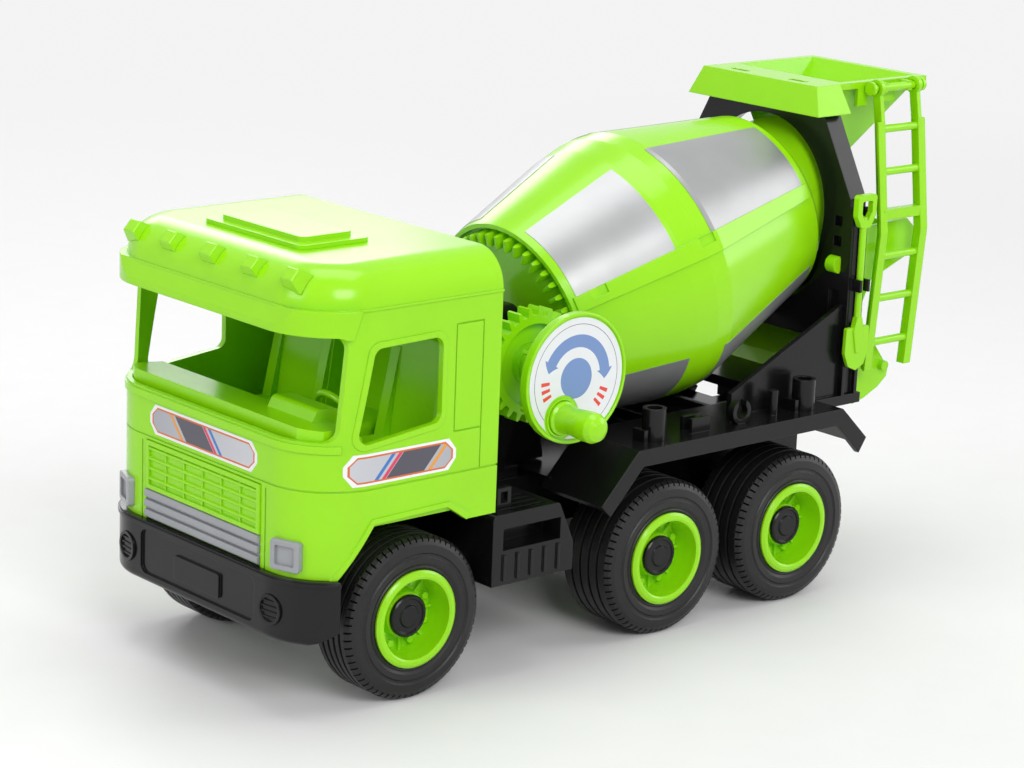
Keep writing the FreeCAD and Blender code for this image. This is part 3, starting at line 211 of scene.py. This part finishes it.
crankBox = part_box("crank_label")
crankCentre = Vector(((crankBox[0].x + crankBox[1].x) / 2, crankBox[0].y, (crankBox[0].z + crankBox[1].z) / 2))
dialLook = {"paper": (0.74, 0.76, 0.78), "blue": (0.155, 0.26, 0.52), "line": (0.10, 0.12, 0.15),
            "red": (0.72, 0.05, 0.03), "disc": 0.0093, "arcIn": 0.0142, "arcOut": 0.0200, "arcMiddle": 0.19,
            "arcTurn": 1.25, "headLong": 0.27, "headWide": 0.0046, "ring": 0.0246,
            "ringWide": 0.0003, "rough": 0.32, "coat": 0.2,
            "barFrom": 1.74, "barTo": 2.24, "barStep": 0.18, "barIn": 0.0158, "barOut": 0.0208}


def dialPrint(name, look):
    mat, tree, skin = newMaterial(name, look["paper"])
    where = objectSpace(tree)
    split = addNode(tree, "ShaderNodeSeparateXYZ")
    tree.links.new(where, split.inputs[0])
    across = sums(tree, "SUBTRACT", split.outputs["X"], crankCentre.x)
    up = sums(tree, "SUBTRACT", split.outputs["Z"], crankCentre.z)
    radius = sums(tree, "SQRT", sums(tree, "ADD", sums(tree, "MULTIPLY", across, across),
                                     sums(tree, "MULTIPLY", up, up)))
    # angle both ways from the middle of the arc
    turn = sums(tree, "ABSOLUTE", sums(tree, "SUBTRACT", sums(tree, "ARCTAN2", across, up), look["arcMiddle"]))
    midR = (look["arcIn"] + look["arcOut"]) / 2
    band = sums(tree, "MULTIPLY", between(tree, radius, look["arcIn"], look["arcOut"]),
                sums(tree, "LESS_THAN", turn, look["arcTurn"]))
    # arrow heads narrow to a point past each end of the band
    past = sums(tree, "SUBTRACT", turn, look["arcTurn"])
    width = sums(tree, "MULTIPLY", sums(tree, "SUBTRACT", 1.0, sums(tree, "DIVIDE", past, look["headLong"])),
                 look["headWide"])
    off = sums(tree, "ABSOLUTE", sums(tree, "SUBTRACT", radius, midR))
    head = sums(tree, "MULTIPLY", sums(tree, "LESS_THAN", off, width), sums(tree, "GREATER_THAN", past, 0.0))
    disc = sums(tree, "LESS_THAN", radius, look["disc"])
    blue = sums(tree, "MAXIMUM", sums(tree, "MAXIMUM", band, head), disc)
    ring = between(tree, radius, look["ring"], look["ring"] + look["ringWide"])
    # three short plain bars below each end of the arc
    along = sums(tree, "SUBTRACT", turn, look["barFrom"])
    beat = sums(tree, "FRACT", sums(tree, "DIVIDE", along, look["barStep"]))
    bars = sums(tree, "MULTIPLY", sums(tree, "LESS_THAN", beat, 0.5), sums(
        tree, "MULTIPLY", between(tree, turn, look["barFrom"], look["barTo"]),
        between(tree, radius, look["barIn"], look["barOut"])))
    tone = noiseAt(tree, where, 120, 2.0)
    paper = rampOf(tree, tone, [(0.3, tinted(look["paper"], 0.98)), (0.7, tinted(look["paper"], 1.0))])
    colour = mixColour(tree, ring, paper, look["line"])
    colour = mixColour(tree, blue, colour, look["blue"])
    colour = mixColour(tree, bars, colour, look["red"])
    tree.links.new(colour, skin.inputs["Base Color"])
    skin.inputs["Roughness"].default_value = look["rough"]
    skin.inputs["Coat Weight"].default_value = look["coat"]
    return mat


bandLook = {"paper": (0.82, 0.82, 0.83), "edge": (0.62, 0.13, 0.02), "pale": (0.36, 0.37, 0.41),
            "dark": (0.07, 0.065, 0.09), "bright": (0.55, 0.56, 0.60), "rough": 0.3, "coat": 0.2,
            "field": 0.0019, "lineFrom": 0.0011, "lean": -0.9, "darkFrom": -0.004, "darkTo": 0.0165,
            "stripes": ((-0.0105, (0.03, 0.16, 0.50)), (-0.0065, (0.65, 0.03, 0.10)),
                        (0.0185, (0.75, 0.30, 0.03))),
            "stripeWide": 0.0022, "trim": 0.0003, "flat": 0.002, "cut": 1.1, "shrink": 0.8, "fadeRate": 14.0}


def bandPrint(name, look, centre, half, axis):
    # a bordered name-plate with plain slanting bands in place of words
    mat, tree, skin = newMaterial(name, look["paper"])
    where = objectSpace(tree)
    split = addNode(tree, "ShaderNodeSeparateXYZ")
    tree.links.new(where, split.inputs[0])
    along = sums(tree, "SUBTRACT", split.outputs[axis], centre[0])
    up = sums(tree, "SUBTRACT", split.outputs["Z"], centre[1])
    # distance inside the hexagonal outline
    side = sums(tree, "SUBTRACT", half[1], sums(tree, "ABSOLUTE", up))
    above = sums(tree, "SUBTRACT", sums(tree, "ABSOLUTE", up), look["flat"])
    corner = sums(tree, "MULTIPLY", sums(tree, "MAXIMUM", above, 0.0), look["cut"])
    reach = sums(tree, "ADD", sums(tree, "ABSOLUTE", along), corner)
    slant = sums(tree, "MULTIPLY", sums(tree, "SUBTRACT", half[0] - look["trim"], reach), look["shrink"])
    inside = sums(tree, "MINIMUM", side, slant)
    field = sums(tree, "GREATER_THAN", inside, look["field"])
    line = between(tree, inside, look["lineFrom"], look["field"])
    lean = sums(tree, "ADD", along, sums(tree, "MULTIPLY", up, look["lean"]))
    dark = between(tree, lean, look["darkFrom"], look["darkTo"])
    tone = rampOf(tree, sums(tree, "ADD", sums(tree, "MULTIPLY", along, look["fadeRate"]), 0.5),
                  [(0.0, look["bright"]), (1.0, look["pale"])])
    body = mixColour(tree, dark, tone, look["dark"])
    for start, colour in look["stripes"]:
        body = mixColour(tree, between(tree, lean, start, start + look["stripeWide"]), body, colour)
    colour = mixColour(tree, field, look["paper"], body)
    colour = mixColour(tree, line, colour, look["edge"])
    tree.links.new(colour, skin.inputs["Base Color"])
    skin.inputs["Roughness"].default_value = look["rough"]
    skin.inputs["Coat Weight"].default_value = look["coat"]
    return mat


def middleOf(node, axis):
    low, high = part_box(node)
    i = "XYZ".index(axis)
    return ((low[i] + high[i]) / 2, (low.z + high.z) / 2), ((high[i] - low[i]) / 2, (high.z - low.z) / 2)


def paint(node, mat):
    obj = nodes[node]
    obj.data.materials.clear()
    obj.data.materials.append(mat)


green = mouldedPlastic("limePlastic", greenLook)
black = mouldedPlastic("blackPlastic", blackLook)
tyreRubber = mouldedPlastic("tyreRubber", tyreLook)
grey = mouldedPlastic("silverPlastic", greyLook)
foil = foilFilm("silverFilm", foilLook)
steel = turnedSteel("axleSteel", steelLook)
slotLooks = {"body_green": green, "body_black": black, "tyre_black": tyreRubber, "cap_black": black,
             "lamp_grey": grey, "foil_grey": foil, "axle_steel": steel}
for part in frame["record"]["subparts"]:
    if part["material_slot"] in slotLooks:
        paint(part["node"], slotLooks[part["material_slot"]])
paint("crank_label", dialPrint("dialLabel", dialLook))
paint("side_labels", bandPrint("sideLabel", bandLook, *middleOf("side_labels", "X"), "X"))
paint("front_label", bandPrint("frontLabel", bandLook, *middleOf("front_label", "Y"), "Y"))
print("materials on", len(nodes), "nodes")


smoothAngle = 32  # degrees


def smoothNode(obj, angle):
    # round faces shade smooth, real corners stay crisp
    mesh = obj.data
    mesh.shade_smooth()
    mesh.set_sharp_from_angle(angle=math.radians(angle))


for obj in nodes.values():
    smoothNode(obj, smoothAngle)
print("shading set")


# room, lamps and camera
roomLook = {"floor": (0.80, 0.80, 0.80), "wide": 6.0, "light": 0.40, "backdrop": (0.90, 0.90, 0.90),
            "fadeFrom": 0.45, "fadeTo": 1.7, "rough": 0.6, "specular": 0.2, "speckScale": 40, "speck": 0.015}


def seenRay(tree):
    # rays that show the backdrop: straight to the camera, or by way of gloss or glass
    path = addNode(tree, "ShaderNodeLightPath")
    gloss = sums(tree, "MAXIMUM", path.outputs["Is Glossy Ray"], path.outputs["Is Transmission Ray"])
    return sums(tree, "MAXIMUM", path.outputs["Is Camera Ray"], gloss)


def paleRoom(look):
    mat, tree, skin = newMaterial("paleFloor", look["floor"])
    skin.inputs["Roughness"].default_value = look["rough"]
    skin.inputs["Specular IOR Level"].default_value = look["specular"]
    speck = noiseAt(tree, objectSpace(tree), look["speckScale"], 3.0)
    tree.links.new(rampOf(tree, speck, [(0.3, tinted(look["floor"], 1 - look["speck"])), (0.7, look["floor"])]),
                   skin.inputs["Base Color"])
    # the floor fades into the backdrop away from the truck, and keeps its shadow near it
    far = addNode(tree, "ShaderNodeVectorMath", operation="LENGTH")
    tree.links.new(objectSpace(tree), far.inputs[0])
    fade = addNode(tree, "ShaderNodeMapRange", interpolation_type="SMOOTHSTEP")
    fade.inputs["From Min"].default_value = look["fadeFrom"]
    fade.inputs["From Max"].default_value = look["fadeTo"]
    tree.links.new(far.outputs["Value"], fade.inputs["Value"])
    glow = addNode(tree, "ShaderNodeEmission")
    glow.inputs["Color"].default_value = (*look["backdrop"], 1)
    share = sums(tree, "MULTIPLY", fade.outputs["Result"], seenRay(tree))
    join = addNode(tree, "ShaderNodeMixShader")
    tree.links.new(share, join.inputs[0])
    tree.links.new(skin.outputs["BSDF"], join.inputs[1])
    tree.links.new(glow.outputs["Emission"], join.inputs[2])
    tree.links.new(join.outputs[0], tree.nodes["Material Output"].inputs["Surface"])
    size = look["wide"]
    mesh = bpy.data.meshes.new("floor")
    corners = [(-size, -size, 0), (size, -size, 0), (size, size, 0), (-size, size, 0)]
    mesh.from_pydata(corners, [], [(0, 1, 2, 3)])
    floor = bpy.data.objects.new("floor", mesh)
    floor.data.materials.append(mat)
    bpy.context.scene.collection.objects.link(floor)
    world = bpy.data.worlds.new("studio")
    bpy.context.scene.world = world
    world.use_nodes = True
    wt = world.node_tree
    wt.nodes.clear()
    out = addNode(wt, "ShaderNodeOutputWorld")
    light = addNode(wt, "ShaderNodeBackground")
    light.inputs["Color"].default_value = (1, 1, 1, 1)
    light.inputs["Strength"].default_value = look["light"]
    seen = addNode(wt, "ShaderNodeBackground")
    seen.inputs["Color"].default_value = (*look["backdrop"], 1)
    seen.inputs["Strength"].default_value = 1.0
    blend = addNode(wt, "ShaderNodeMixShader")
    wt.links.new(seenRay(wt), blend.inputs[0])
    wt.links.new(light.outputs[0], blend.inputs[1])
    wt.links.new(seen.outputs[0], blend.inputs[2])
    wt.links.new(blend.outputs[0], out.inputs["Surface"])


def softBox(name, place, target, size, power):
    lamp = bpy.data.lights.new(name, "AREA")
    lamp.shape = "RECTANGLE"
    lamp.size, lamp.size_y = size
    lamp.energy = power
    obj = bpy.data.objects.new(name, lamp)
    obj.location = place
    obj.rotation_mode = "QUATERNION"
    obj.rotation_quaternion = (Vector(target) - Vector(place)).to_track_quat("-Z", "Y")
    bpy.context.scene.collection.objects.link(obj)


paleRoom(roomLook)
lampLooks = {
    "keySoftBox": {"place": (-0.6, -1.7, 1.3), "target": (0, 0, 0.1), "size": (1.1, 0.8), "power": 23},
    "topSoftBox": {"place": (0.1, 0.1, 1.9), "target": (0, 0, 0.1), "size": (1.4, 1.0), "power": 14},
    "fillSoftBox": {"place": (1.8, -0.9, 0.8), "target": (0, 0, 0.1), "size": (0.8, 1.2), "power": 9},
    "noseSoftBox": {"place": (-2.0, 0.3, 0.9), "target": (-0.1, 0, 0.1), "size": (0.9, 0.9), "power": 11},
    "backSoftBox": {"place": (0.8, 1.9, 1.1), "target": (0, 0, 0.1), "size": (1.2, 0.8), "power": 12}}
for name, lampLook in lampLooks.items():
    softBox(name, **lampLook)

cameraLook = {"place": (-0.914831, -0.995238, 0.454865), "lens": 103.04,
              "right": (0.755284, -0.654364, 0.036797), "down": (-0.136561, -0.212037, -0.967673),
              "ahead": (0.641012, 0.725843, -0.249509)}


def addCamera(look):
    data = bpy.data.cameras.new("camera")
    data.lens = look["lens"]
    data.sensor_width = 36
    data.clip_start, data.clip_end = 0.05, 50
    cam = bpy.data.objects.new("camera", data)
    right, down, ahead = (Vector(look[k]) for k in ("right", "down", "ahead"))
    turn = Matrix((right, -down, -ahead)).transposed().to_4x4()
    cam.matrix_world = Matrix.Translation(Vector(look["place"])) @ turn
    bpy.context.scene.collection.objects.link(cam)
    bpy.context.scene.camera = cam


addCamera(cameraLook)
bpy.context.scene.view_settings.view_transform = "Standard"
print("room, lamps and camera placed")
